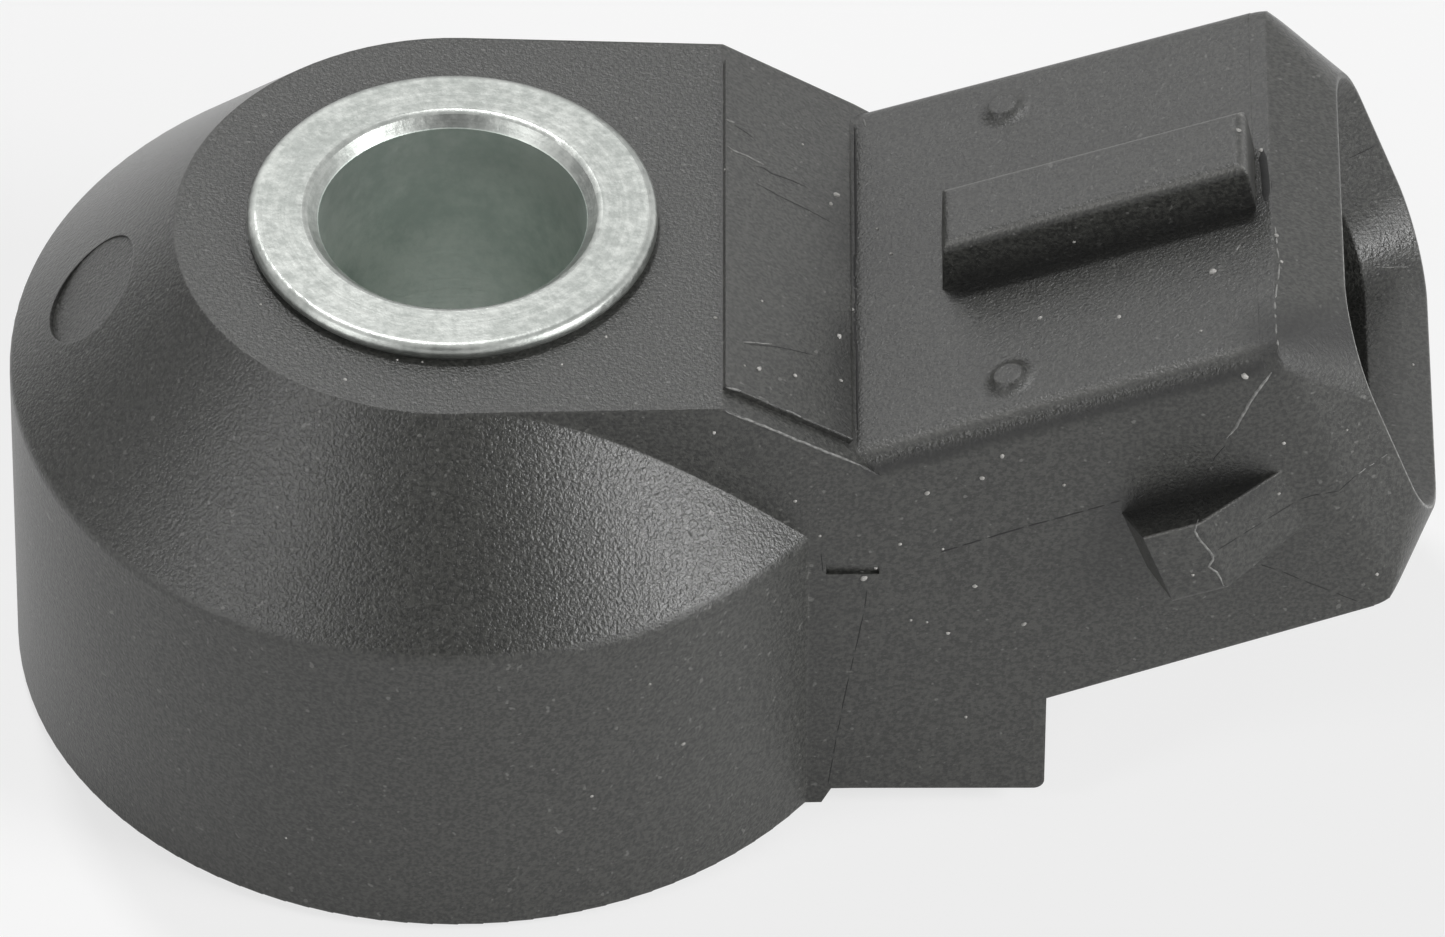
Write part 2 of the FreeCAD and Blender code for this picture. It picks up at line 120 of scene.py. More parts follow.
# Shader helper
class Shader:
    """Node tree of a material or world: each method adds nodes and returns an output."""

    def __init__(self, owner):
        self.owner = owner
        owner.use_nodes = True
        self.tree = owner.node_tree
        self.tree.nodes.clear()

    def add(self, kind, inputs=None, **settings):
        """Makes a node of this kind and returns the node itself."""
        node = self.tree.nodes.new(kind)
        for key, value in settings.items():
            setattr(node, key, value)
        for key, value in (inputs or {}).items():
            socket = node.inputs[key]
            if isinstance(value, bpy.types.NodeSocket):
                self.tree.links.new(value, socket)
            else:
                socket.default_value = value
        return node

    def place(self):
        return self.add("ShaderNodeTexCoord").outputs["Object"]

    def math(self, operation, a, b=0.0, clamp=False):
        return self.add("ShaderNodeMath", {0: a, 1: b}, operation=operation, use_clamp=clamp).outputs[0]

    def weighed(self, a, share_of_a, b, share_of_b):
        """Sum of two values, each times its share."""
        return self.math("ADD", self.math("MULTIPLY", a, share_of_a), self.math("MULTIPLY", b, share_of_b))

    def vector(self, operation, a, b=None, scale=None):
        """Vector from one or two others, or a number where the operation gives one."""
        inputs = {key: value for key, value in ((0, a), (1, b), ("Scale", scale)) if value is not None}
        node = self.add("ShaderNodeVectorMath", inputs, operation=operation)
        return node.outputs["Value" if operation in ("DOT_PRODUCT", "DISTANCE") else "Vector"]

    def mix(self, factor, a, b):
        """Colour between a and b."""
        return self.add("ShaderNodeMix", {0: factor, 6: a, 7: b}, data_type="RGBA").outputs[2]

    def blend(self, factor, a, b):
        """Number between a and b."""
        return self.add("ShaderNodeMix", {0: factor, 2: a, 3: b}, data_type="FLOAT").outputs[0]

    def noise(self, place, scale, detail=3.0, roughness=0.5):
        """Noise from 0 to 1, with about as many features per metre as the scale says."""
        inputs = {"Vector": place, "Scale": scale, "Detail": detail, "Roughness": roughness}
        return self.add("ShaderNodeTexNoise", inputs).outputs["Fac"]

    def ramp(self, value, start, end, low=0.0, high=1.0):
        """Smooth passage from low to high as the value goes from start to end."""
        inputs = {"Value": value, "From Min": start, "From Max": end, "To Min": low, "To Max": high}
        return self.add("ShaderNodeMapRange", inputs, interpolation_type="SMOOTHSTEP").outputs[0]

    def bump(self, height, distance, strength=1.0, normal=None):
        inputs = {"Height": height, "Distance": distance, "Strength": strength}
        if normal is not None:
            inputs["Normal"] = normal
        return self.add("ShaderNodeBump", inputs).outputs[0]

    def finish(self, inputs):
        """Puts the surface on the material and returns it."""
        surface = self.add("ShaderNodeBsdfPrincipled", inputs)
        self.add("ShaderNodeOutputMaterial", {"Surface": surface.outputs[0]})
        return self.owner


def new_shader(name):
    return Shader(bpy.data.materials.new(name))


def grey(level):
    return (level, level, level, 1.0)


# Nylon
NYLON_IOR = 1.55
NYLON_DARK, NYLON_LIGHT = (0.0122, 0.0124, 0.0114, 1), (0.0510, 0.0515, 0.0468, 1)
FIBRE_COLOUR = (0.14, 0.14, 0.132, 1)
WORN_AND_HIGHLIGHT_COLOUR = (0.20, 0.198, 0.187, 1)
PAINTED_SHADE_COLOUR = (0.006, 0.006, 0.006, 1)
# Rise of the cone's normal, by which the material finds the cone
CONE_FACING = 0.69
# Edges that the moulding rounds off, and how near to a wall a corner counts as an inside one, in mm
EDGE_ROUND, INSIDE_CORNER = 0.14, 0.4
# How pale each rounded edge is made, partly as wear and partly as painted highlight
EDGE_WEAR_AND_HIGHLIGHT = 0.10
# Height of the grain in mm
GRAIN_HEIGHT = 0.026
# Edges made pale, partly as wear and partly as painted highlight on rounded edges: two ends, reach in mm and
# strength
WORN_AND_HIGHLIT_EDGES = (
    (tilted(RIB_REAR, -1.24, RIB_TOP - 0.04), tilted(RIB_FRONT, -1.24, RIB_TOP - 0.04), 0.17, 0.50),
    (tilted(RIB_REAR, 1.24, RIB_TOP - 0.06), tilted(RIB_FRONT, 1.24, RIB_TOP - 0.06), 0.17, 1.0),
    (tilted(RIB_FRONT, 1.25, RIB_TOP - 0.05), tilted(RIB_FRONT, -1.24, RIB_TOP - 0.05), 0.14, 0.7),
    (point(21.47, -9.65, 13.03), point(23.16, -9.65, 13.65), 0.10, 0.8),
    (point(23.16, -9.65, 13.65), point(25.71, -8.24, 14.57), 0.10, 0.6),
    (point(22.45, -9.65, 10.35), point(24.14, -9.65, 10.97), 0.09, 0.4),
    (point(12.9, -7.74, 14.98), point(24.9, -7.64, 19.34), 0.26, 0.32),
)
# The near corner between the connector's top and its nose, with painted shade and dull
NOSE_CORNER = (point(25.5, -7.2, 19.15), tilted(32.3, -6.2, 7.6))
NOSE_DULL_REACH, NOSE_DULL_ROUGHNESS = 2.2, 0.60
# Painted shade that darkens corners, creases and faces in shadow: two ends, reach in mm and strength
PAINTED_SHADE_CORNERS = (
    (point(12.1, -7.3, 15.25), point(12.1, -2.6, 15.25), 0.9, 0.55),
    (tilted(RIB_FRONT - 0.05, -1.3, 10.0), tilted(RIB_FRONT - 0.05, 1.3, 10.0), 0.85, 0.6),
    (tilted(RIB_REAR, -1.5, 9.4), tilted(RIB_FRONT - 0.4, -1.5, 9.4), 1.2, 0.7),
    (point(20.9, -8.4, 13.0), point(24.6, -8.4, 14.35), 1.3, 0.8),
    (point(13.0, -8.22, 14.5), point(24.9, -8.13, 18.85), 0.36, 0.8),
    (*NOSE_CORNER, 1.7, 0.85),
)


def near_edge(s, place, start, end, reach):
    """1 on the line from start to end, falling to 0 at reach from it."""
    run = end - start
    off = s.vector("SUBTRACT", place, start)
    share = s.math("ADD", s.vector("DOT_PRODUCT", off, run / run.length_squared), 0.0, clamp=True)
    foot = s.vector("SCALE", run, scale=share)
    return s.ramp(s.vector("DISTANCE", off, foot), reach * MM, 0.0)


def rounded_normal(s, flat):
    """Normal rounded along the outer edges, and 1 where it leaves the flat one."""
    bevelled = s.add("ShaderNodeBevel", {"Radius": EDGE_ROUND * MM}, samples=6).outputs[0]
    # Inside corners keep their flat normal, so that no light line runs along them
    free = s.add("ShaderNodeAmbientOcclusion", {"Distance": INSIDE_CORNER * MM}, samples=6).outputs["AO"]
    outward = s.ramp(free, 0.60, 0.90)
    kept = s.vector("SCALE", flat, scale=s.math("SUBTRACT", 1.0, outward))
    turned = s.vector("SCALE", bevelled, scale=outward)
    normal = s.vector("NORMALIZE", s.vector("ADD", kept, turned))
    return normal, s.ramp(s.vector("DOT_PRODUCT", normal, flat), 0.995, 0.86)


def nylon_material():
    """Charcoal glass-filled nylon: spark-eroded grain, pale specks of fibre, pale edges that are partly wear
    and partly painted highlight, and painted shade in corners and creases.
    """
    s = new_shader("nylon")
    place = s.place()
    flat = s.add("ShaderNodeNewGeometry").outputs["Normal"]
    grain = s.noise(place, 10500.0, 2.0, 0.6)
    pits = s.noise(place, 7600.0, 2.0, 0.55)
    glitter = s.noise(place, 7400.0, 1.0, 0.5)
    mottle = s.noise(place, 260.0, 4.0, 0.6)
    smear = s.noise(place, 90.0, 2.0, 0.5)
    fibre = s.ramp(s.noise(place, 4100.0, 1.0, 0.4), 0.70, 0.78)
    # The cone has a coarser and glossier texture than the rest
    facing = s.add("ShaderNodeSeparateXYZ", {0: flat}).outputs[2]
    cone = s.ramp(s.math("ABSOLUTE", s.math("SUBTRACT", facing, CONE_FACING)), 0.11, 0.05)
    round_normal, edge = rounded_normal(s, flat)
    # Pale edges: partly wear, partly painted highlight where rounded edges catch the light
    worn_and_highlit = s.math("MULTIPLY", edge, EDGE_WEAR_AND_HIGHLIGHT)
    for *ends_and_reach, strength in WORN_AND_HIGHLIT_EDGES:
        pale_edge_line = s.math("MULTIPLY", near_edge(s, place, *ends_and_reach), strength)
        worn_and_highlit = s.math("ADD", worn_and_highlit, pale_edge_line)
    worn_and_highlit = s.math("MULTIPLY", worn_and_highlit, s.ramp(grain, 0.30, 0.62, 0.35, 1.0), clamp=True)
    speckle = s.ramp(s.blend(cone, glitter, pits), 0.34, 0.66)
    base = s.mix(s.weighed(speckle, 0.75, mottle, 0.25), NYLON_DARK, NYLON_LIGHT)
    base = s.mix(s.math("MULTIPLY", fibre, 0.7), base, FIBRE_COLOUR)
    base = s.mix(worn_and_highlit, base, WORN_AND_HIGHLIGHT_COLOUR)
    # Painted shade in corners, creases and faces that lie in shadow
    for *ends_and_reach, strength in PAINTED_SHADE_CORNERS:
        painted_shade = s.math("MULTIPLY", near_edge(s, place, *ends_and_reach), strength)
        base = s.mix(painted_shade, base, PAINTED_SHADE_COLOUR)
    roughness = s.blend(cone, s.blend(smear, 0.37, 0.45), 0.31)
    roughness = s.blend(near_edge(s, place, *NOSE_CORNER, NOSE_DULL_REACH), roughness, NOSE_DULL_ROUGHNESS)
    height = s.math("ADD", grain, s.math("MULTIPLY", pits, s.blend(cone, 0.5, 1.1)))
    normal = s.bump(height, GRAIN_HEIGHT * MM, 1.0, round_normal)
    return s.finish({"Base Color": base, "Roughness": roughness, "Normal": normal, "IOR": NYLON_IOR})


# Metals and the other materials
RING_DARK, RING_LIGHT = (0.268, 0.282, 0.268, 1), (0.395, 0.408, 0.390, 1)
BORE_DARK, BORE_LIGHT = (0.53, 0.59, 0.553, 1), (0.69, 0.73, 0.69, 1)
# The bore darkens upwards between these heights in mm, to this colour by this much
BORE_SHADE_FROM, BORE_SHADE_TO = 14.0, 17.2
BORE_SHADE, BORE_SHADE_STRENGTH = (0.20, 0.23, 0.21, 1), 0.35


def zinc_material():
    """Bright zinc on turned steel: fine turning marks, mottled grey patches and small pits."""
    s = new_shader("zinc_plated_steel")
    place = s.place()
    x, y, z = s.add("ShaderNodeSeparateXYZ", {0: place}).outputs
    radius = s.math("SQRT", s.math("ADD", s.math("POWER", x, 2.0), s.math("POWER", y, 2.0)))
    turning = s.add("ShaderNodeCombineXYZ", {0: radius, 1: z}).outputs[0]
    rings = s.noise(turning, 7000.0, 2.0)
    mottle = s.noise(place, 2400.0, 4.0, 0.7)
    pits = s.noise(place, 4200.0, 3.0, 0.6)
    cloud = s.noise(place, 420.0, 4.0, 0.6)
    stain = s.weighed(s.ramp(mottle, 0.25, 0.75), 0.45, rings, 0.55)
    patch = s.weighed(stain, 0.75, s.ramp(cloud, 0.3, 0.7), 0.25)
    ring = s.mix(s.ramp(patch, 0.25, 0.75), RING_DARK, RING_LIGHT)
    film = s.weighed(cloud, 0.6, mottle, 0.4)
    bore = s.mix(s.ramp(film, 0.35, 0.65), BORE_DARK, BORE_LIGHT)
    shade = s.ramp(z, BORE_SHADE_FROM * MM, BORE_SHADE_TO * MM, 0.0, BORE_SHADE_STRENGTH)
    bore = s.mix(shade, bore, BORE_SHADE)
    inside = s.ramp(radius, (BORE_RADIUS + 0.04) * MM, BORE_RADIUS * MM)
    base = s.mix(inside, ring, bore)
    roughness = s.blend(inside, s.blend(mottle, 0.32, 0.46), s.blend(mottle, 0.42, 0.54))
    normal = s.bump(s.weighed(rings, 0.35, pits, 0.65), 0.02 * MM, 0.8)
    return s.finish({"Base Color": base, "Metallic": 1.0, "Roughness": roughness, "Normal": normal})


def plain_material(name, low, high, roughness, metallic=1.0):
    """Slightly mottled material between two colours."""
    s = new_shader(name)
    place = s.place()
    mottle = s.noise(place, 700.0, 4.0, 0.6)
    base = s.mix(mottle, (*low, 1), (*high, 1))
    rough = s.blend(mottle, roughness - 0.05, roughness + 0.07)
    normal = s.bump(s.noise(place, 4200.0, 2.0, 0.5), 0.01 * MM, 0.6)
    return s.finish({"Base Color": base, "Metallic": metallic, "Roughness": rough, "Normal": normal})


def marks_material(name, low, high, roughness):
    """Wear, dust, seams and painted shade, patchy between two colours."""
    s = new_shader(name)
    mottle = s.noise(s.place(), 5000.0, 3.0, 0.6)
    base = s.mix(s.ramp(mottle, 0.35, 0.65), (*low, 1), (*high, 1))
    normal = s.bump(mottle, 0.02 * MM, 0.5)
    return s.finish({"Base Color": base, "Roughness": roughness, "Normal": normal})


NYLON = nylon_material()
ZINC = zinc_material()
INSULATION = plain_material("insulation", (0.55, 0.42, 0.22), (0.66, 0.52, 0.30), 0.5, 0.0)
BRASS = plain_material("contact_brass", (0.70, 0.52, 0.26), (0.82, 0.64, 0.36), 0.28)
CERAMIC = plain_material("piezo_ceramic", (0.50, 0.48, 0.42), (0.60, 0.58, 0.50), 0.55, 0.0)
MASS = plain_material("mass_steel", (0.42, 0.41, 0.40), (0.55, 0.54, 0.52), 0.38)
SPRING = plain_material("spring_steel", (0.30, 0.29, 0.28), (0.42, 0.41, 0.39), 0.34)
TINNED = plain_material("tinned_brass", (0.34, 0.33, 0.315), (0.46, 0.45, 0.43), 0.46)
PALE = marks_material("worn_nylon", (0.13, 0.13, 0.125), (0.26, 0.26, 0.25), 0.55)
# Dark lines: seams and scratches, and also painted shadow and shade
DARK = marks_material("seams_and_painted_shade", (0.004, 0.004, 0.004), (0.012, 0.012, 0.012), 0.75)
DUST = marks_material("dust", (0.30, 0.295, 0.28), (0.50, 0.49, 0.47), 0.8)

FINISHES = {
    "housing": NYLON,
    "pressure_sleeve": ZINC,
    "insulating_tube": INSULATION,
    "lower_insulating_disc": INSULATION,
    "upper_insulating_disc": INSULATION,
    "lower_contact_disc": BRASS,
    "upper_contact_disc": BRASS,
    "piezo_ring": CERAMIC,
    "seismic_mass": MASS,
    "spring_washer": SPRING,
    "ring_nut": ZINC,
    "left_terminal": TINNED,
    "right_terminal": TINNED,
}


def finish_nodes():
    """Gives every CAD node its material."""
    for name, material in FINISHES.items():
        if not NODES[name].material_slots:
            NODES[name].data.materials.append(material)
        for slot in NODES[name].material_slots:
            slot.material = material


# Small marks, placed by the photograph's pixels and laid on the CAD's surface behind them
# Steps along a line in photo pixels, and the share of its wander that each step keeps
TRACK_STEP, WANDER_KEPT = 2.0, 0.7
# Spots of a track are farther apart than the first and, on one surface, not as far as the second, in mm
CLOSEST_SPOTS, FARTHEST_SPOTS = 0.02, 0.35
# A ridge's depth in the surface in mm, and the share of its width at its ends and of its length that tapers
RIDGE_SINK, RIDGE_END_WIDTH, RIDGE_TAPER = 0.02, 0.35, 0.15
# A speck's sides, and the height and width of its layers as shares of its size
SPECK_SIDES = 9
SPECK_LAYERS = ((-0.10, 1.0), (0.16, 0.86), (0.30, 0.5))
# The rim line's width and height in mm, and its steps along a straight and round a corner
RIM_LINE_WIDTH, RIM_LINE_HEIGHT = 0.11, 0.015
STRAIGHT_STEPS, CORNER_STEPS = 20, 16


def line(pixels, width, height, in_bits=False, both_sides=False):
    """Line of photo pixels, its width and height in mm, perhaps broken up or on the far side too."""
    return pixels, width, height, in_bits, both_sides


PALE_LINES = (
    # Edge below the neck's top
    line(
        ((726, 411.5), (740, 417.6), (754, 422.2), (780, 433), (800, 441.4), (832, 454.4), (862, 466)),
        0.09, 0.02,
    ),
    # Flash from the nose's corner, down the latch wedge and down the nose's rear edge
    line(((1271.5, 372), (1257.6, 391), (1248.4, 404), (1235.5, 428), (1226.2, 439)), 0.13, 0.03),
    line(
        (
            (1198.5, 519), (1194.5, 531), (1200.3, 541), (1210.5, 552),
            (1213, 559), (1208, 567), (1217, 572), (1224, 586),
        ),
        0.10, 0.02,
    ),
    line(
        (
            (1274.5, 226), (1276.4, 236), (1277.5, 250), (1280, 262),
            (1278, 280), (1274.5, 304), (1276, 330), (1279, 352),
        ),
        0.08, 0.03, in_bits=True,
    ),
    # Scratches on the neck
    line(((725.5, 387), (733, 389), (741, 390.8)), 0.10, 0.03),
    line(((786, 410), (794, 413.5), (801, 417)), 0.08, 0.03),
    line(((725.5, 119.7), (734.4, 122.3)), 0.10, 0.03),
    line(((727.4, 145.9), (733.8, 151), (744.6, 154.8), (763.8, 164.4)), 0.07, 0.02),
    line(((742.9, 341.8), (761.3, 343.4), (772, 344.1)), 0.05, 0.02),
    # Scratches on the nose, in the mouth, by the rib and by the valley
    line(((1357.4, 474), (1379.6, 459.4), (1391, 452)), 0.05, 0.015, in_bits=True),
    line(((1374, 267), (1409, 267)), 0.05, 0.015),
    line(((1236, 251), (1240.5, 244)), 0.08, 0.03),
    line(((863.6, 119), (866, 127)), 0.09, 0.03),
)
DARK_LINES = (
    # Seams of the moulding, which the far side has too
    line(((941, 552), (984, 539), (1036, 524), (1084, 511), (1120, 501)), 0.085, 0.01, True, True),
    line(((867, 590), (865, 606), (858, 640), (847, 686), (838, 730), (827, 790)), 0.05, 0.01, True, True),
    line(((1217.9, 550), (1259.5, 524), (1298.3, 500), (1313, 495.4), (1339, 490.8)), 0.04, 0.01, True, True),
    line(((1339, 490.8), (1357.4, 474)), 0.035, 0.01, True, True),
    line(
        ((1261.3, 564.8), (1283.5, 572), (1309.4, 583), (1339, 594.3), (1357.4, 601.7)),
        0.05, 0.01, True, True,
    ),
    # Scratches on the near wall, the nose and the neck, and one by the side notch
    line(((1225.3, 445.5), (1215, 457.5), (1205.9, 476), (1197, 492)), 0.05, 0.01, in_bits=True),
    line(((1350, 158), (1374.5, 146)), 0.04, 0.01),
    line(((753.6, 165.5), (763.8, 168), (771.4, 173), (789.3, 179.5), (807, 187)), 0.05, 0.01),
    line(((734.4, 125), (743.4, 130.5), (753.6, 138)), 0.045, 0.01),
    line(((753.6, 182), (776.5, 194.5), (789.3, 201), (808.4, 210), (834, 224)), 0.04, 0.01),
    line(((744, 343.6), (761.3, 345.2), (772, 346), (791.9, 350), (816.4, 356)), 0.045, 0.01),
    line(((821, 553), (822, 562), (823, 572)), 0.04, 0.01),
    # Painted shadow before the rib's front and painted shade in the valley's crease
    line(((1262, 150), (1264, 168), (1266, 186), (1266, 201)), 0.38, 0.01),
    line(
        ((855, 128), (855, 170), (855.5, 210), (855, 260), (855.5, 300), (856, 350), (857, 400), (858, 430)),
        0.17, 0.01,
    ),
)
# How far a line strays in photo pixels, and a broken one's shortest and longest run and widest gap in steps
PALE_WANDER, PALE_RUNS = 0.25, (3, 9, 3)
DARK_WANDER, DARK_RUNS = 0.15, (8, 22, 2)

# Dust: pixel, size across in mm, and how much longer than wide
DUST_SPECKS = (
    (1238.5, 130, 0.16, 1.4), (1260.9, 150.4, 0.15, 1.2), (1212.7, 271.7, 0.24, 1.2), (1040, 318, 0.14, 1.2),
    (1119, 317, 0.14, 1.3), (1074, 242, 0.10, 1.0), (1244.7, 376.2, 0.20, 1.3), (1283.9, 443, 0.13, 1.1),
    (1278.9, 493.6, 0.12, 1.1), (1376.9, 574, 0.12, 1.1), (795, 375.5, 0.15, 1.1), (839.4, 336.5, 0.18, 1.4),
    (840.9, 380.6, 0.12, 1.1), (762, 301, 0.10, 1.1), (759, 368.6, 0.16, 1.5), (744.4, 365.6, 0.09, 1.0),
    (852.4, 309.7, 0.14, 1.2), (715.3, 317.8, 0.13, 1.1), (714, 432.6, 0.12, 1.1), (891.4, 253.8, 0.12, 1.2),
    (836.5, 195, 0.18, 1.5), (830.7, 204, 0.14, 1.3), (802.7, 144.6, 0.09, 1.0), (724.9, 170, 0.11, 1.0),
    (877.3, 228.8, 0.11, 1.1), (900, 544, 0.13, 1.1), (927, 493, 0.16, 1.3), (982, 478, 0.16, 1.2),
    (1002, 456, 0.15, 1.2), (864, 578, 0.20, 1.3), (948, 633, 0.14, 1.2), (975, 586, 0.14, 1.2),
    (966, 717, 0.11, 1.0), (1024, 624, 0.14, 1.6), (1064, 485, 0.11, 1.0), (911, 620, 0.10, 1.0),
    (927, 622, 0.09, 1.0), (943, 549, 0.10, 1.0), (1276.4, 235.6, 0.14, 1.2), (1281.5, 261.7, 0.12, 1.0),
    (1347, 430, 0.10, 1.0), (1193, 575, 0.11, 1.0), (1201, 331, 0.11, 1.0), (1413, 364.8, 0.10, 1.0),
    (345, 379.5, 0.12, 1.2), (260.7, 304.5, 0.10, 1.0), (397, 360, 0.09, 1.0), (422, 362, 0.08, 1.2),
    (562, 364.5, 0.09, 1.0), (606, 337, 0.10, 1.3), (876, 568, 0.12, 1.1), (795, 501, 0.12, 1.0),
    (820, 536, 0.10, 1.0), (683, 744, 0.13, 1.4), (592, 796, 0.12, 1.0), (650, 684, 0.10, 1.0),
    (40, 727, 0.10, 1.0), (286, 838, 0.08, 1.0),
)


def surface_tree(node):
    mesh = NODES[node].data
    points = [v.co.copy() for v in mesh.vertices]
    return BVHTree.FromPolygons(points, [tuple(p.vertices) for p in mesh.polygons])


HOUSING = surface_tree("housing")


def hit(px, py):
    """Point and outward normal on the housing behind a pixel of the photograph."""
    aside, above = (px - PHOTO_WIDTH / 2) / CAM_FOCAL, (PHOTO_HEIGHT / 2 - py) / CAM_FOCAL
    aim = RIGHT * aside + UP * above - BACK
    aim.normalize()
    place, normal, _, _ = HOUSING.ray_cast(EYE, aim)
    if place is None:
        return None
    return place, (normal if normal.dot(aim) < 0 else -normal)


def new_piece(name, bm, material):
    """Piece on the nylon, kept within the CAD's box."""
    bmesh.ops.recalc_face_normals(bm, faces=bm.faces)
    for vert in bm.verts:
        vert.co = Vector(min(max(v, low), high) for v, low, high in zip(vert.co, *CAD_BOX))
    mesh = bpy.data.meshes.new(name)
    bm.to_mesh(mesh)
    bm.free()
    mesh.materials.append(material)
    for polygon in mesh.polygons:
        polygon.use_smooth = True
    piece = new_object(name, mesh)
    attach(piece, "root")


def close_rings(bm, rings):
    """Joins rings of vertices by faces and closes both ends."""
    count = len(rings[0])
    for first, second in zip(rings, rings[1:]):
        for k in range(count):
            m = (k + 1) % count
            bm.faces.new((first[k], first[m], second[m], second[k]))
    bm.faces.new(rings[0][::-1])
    bm.faces.new(rings[-1])


def add_ridge(bm, track, width, height):
    """Closed low ridge of lens-shaped section along a track of (point, normal), thin at its ends."""
    rings = []
    last = len(track) - 1
    for i, (place, normal) in enumerate(track):
        run = track[min(i + 1, last)][0] - track[max(i - 1, 0)][0]
        side = normal.cross(run.normalized()).normalized()
        from_end = min(i, last - i) / max(1, last * RIDGE_TAPER)
        swell = min(1.0, RIDGE_END_WIDTH + (1 - RIDGE_END_WIDTH) * from_end)
        w, h, sink = width / 2 * swell, height * swell, RIDGE_SINK * MM
        section = ((-1, -sink), (-0.55, h * 0.75), (0, h), (0.55, h * 0.75), (1, -sink))
        rings.append([bm.verts.new(place + side * (w * u) + normal * v) for u, v in section])
    close_rings(bm, rings)


def track_of(pixels, wander, rng):
    """The housing's surface along a line of photo pixels, with a slight wander."""
    found = []
    offset = 0.0
    for (x0, y0), (x1, y1) in zip(pixels, pixels[1:]):
        length = math.hypot(x1 - x0, y1 - y0)
        count = max(1, round(length / TRACK_STEP))
        nx, ny = (y0 - y1) / length, (x1 - x0) / length
        for i in range(count + (1 if (x1, y1) == pixels[-1] else 0)):
            t = i / count
            offset = WANDER_KEPT * offset + rng.uniform(-wander, wander)
            spot = hit(x0 + (x1 - x0) * t + nx * offset, y0 + (y1 - y0) * t + ny * offset)
            if spot is not None and (not found or (spot[0] - found[-1][0]).length > CLOSEST_SPOTS * MM):
                found.append(spot)
    return found


def unbroken(track):
    """Splits a track where it jumps from one surface to another behind it."""
    runs = [[]]
    for spot in track:
        if runs[-1] and (spot[0] - runs[-1][-1][0]).length > FARTHEST_SPOTS * MM:
            runs.append([])
        runs[-1].append(spot)
    return [run for run in runs if len(run) > 2]


def broken(track, rng, low, high, gap):
    """Cuts a track into short runs with gaps between them."""
    runs = []
    i = 0
    while i < len(track) - 2:
        length = rng.randint(low, high)
        runs.append(track[i:i + length])
        i += length + rng.randint(1, gap)
    return [run for run in runs if len(run) > 2]


def mirrored(track):
    flip = Matrix.Diagonal((1, -1, 1))
    return [(flip @ place, flip @ normal) for place, normal in track]


def lines_mesh(lines, wander, run_sizes, rng):
    """Ridges along lines of photo pixels."""
    bm = bmesh.new()
    for pixels, width, height, in_bits, both_sides in lines:
        for part in unbroken(track_of(pixels, wander, rng)):
            for run in broken(part, rng, *run_sizes) if in_bits else [part]:
                for track in (run, mirrored(run)) if both_sides else (run,):
                    add_ridge(bm, track, width * MM, height * MM)
    return bm


def make_lines():
    rng = random.Random(11)
    pale = lines_mesh(PALE_LINES, PALE_WANDER, PALE_RUNS, rng)
    dark = lines_mesh(DARK_LINES, DARK_WANDER, DARK_RUNS, rng)
    new_piece("flash_and_scratches", pale, PALE)
    # The dark lines are seams and scratches, with painted shadow before the rib and painted shade in the
    # valley
    new_piece("seams_and_painted_shade_lines", dark, DARK)


def make_rim_line():
    """Worn line along the near half of the lip."""
    facing = (tilted(1, 0, 0) - tilted(0, 0, 0)).normalized()
    straight, upright = LIP_HALF_WIDTH - LIP_CORNER, LIP_HALF_HEIGHT - LIP_CORNER
    near_half = [(-straight * i / STRAIGHT_STEPS, LIP_HALF_HEIGHT) for i in range(STRAIGHT_STEPS)]
    for middle, start in ((upright, 0), (-upright, math.pi / 2)):
        for i in range(CORNER_STEPS + 1):
            a = start + math.pi / 2 * i / CORNER_STEPS
            near_half.append((-straight - LIP_CORNER * math.sin(a), middle + LIP_CORNER * math.cos(a)))
    for i in range(1, STRAIGHT_STEPS + 1):
        near_half.append((-straight * (1 - i / STRAIGHT_STEPS), -LIP_HALF_HEIGHT))
    track = [(tilted(MOUTH_REACH, across, MOUTH_RISE + above), facing) for across, above in near_half]
    bm = bmesh.new()
    add_ridge(bm, track, RIM_LINE_WIDTH * MM, RIM_LINE_HEIGHT * MM)
    new_piece("rim_line", bm, PALE)


def add_speck(bm, place, normal, size, longer, rng):
    """Low irregular grain lying on the surface."""
    turned = normal.to_track_quat("Z", "Y").to_matrix() @ Matrix.Rotation(rng.uniform(0, math.pi), 3, "Z")
    radii = [size / 2 * rng.uniform(0.8, 1.15) for _ in range(SPECK_SIDES)]
    rings = []
    for level, shrink in SPECK_LAYERS:
        ring = []
        for k, radius in enumerate(radii):
            a = 2 * math.pi * k / SPECK_SIDES
            r = radius * shrink
            local = Vector((r * math.cos(a) * longer, r * math.sin(a), level * size))
            ring.append(bm.verts.new(place + turned @ local))
        rings.append(ring)
    close_rings(bm, rings)


def make_dust():
    rng = random.Random(3)
    bm = bmesh.new()
    for px, py, size, longer in DUST_SPECKS:
        spot = hit(px, py)
        if spot is not None:
            add_speck(bm, *spot, size * MM, longer, rng)
    new_piece("dust_specks", bm, DUST)


# Studio
FLOOR_SEEN_WHITE, FLOOR_MIRRORED_WHITE = 0.72, 1.0
FLOOR_COLOUR, CARD_COLOUR = grey(0.86), grey(0.01)
# Half the floor's width, its height just under the part, and how far round the part its painted shade in
# reflections reaches, in metres
FLOOR_HALF, FLOOR_HEIGHT, FLOOR_SHADE_REACH = 3.0, -0.00002, 0.0055
# Black cards: name, direction from the part, distance and width in metres
DARK_CARDS = (
    ("front_card", BACK, 0.46, 0.30),
    ("left_card", (-0.90, 0.36, 0.16), 0.50, 0.20),
)
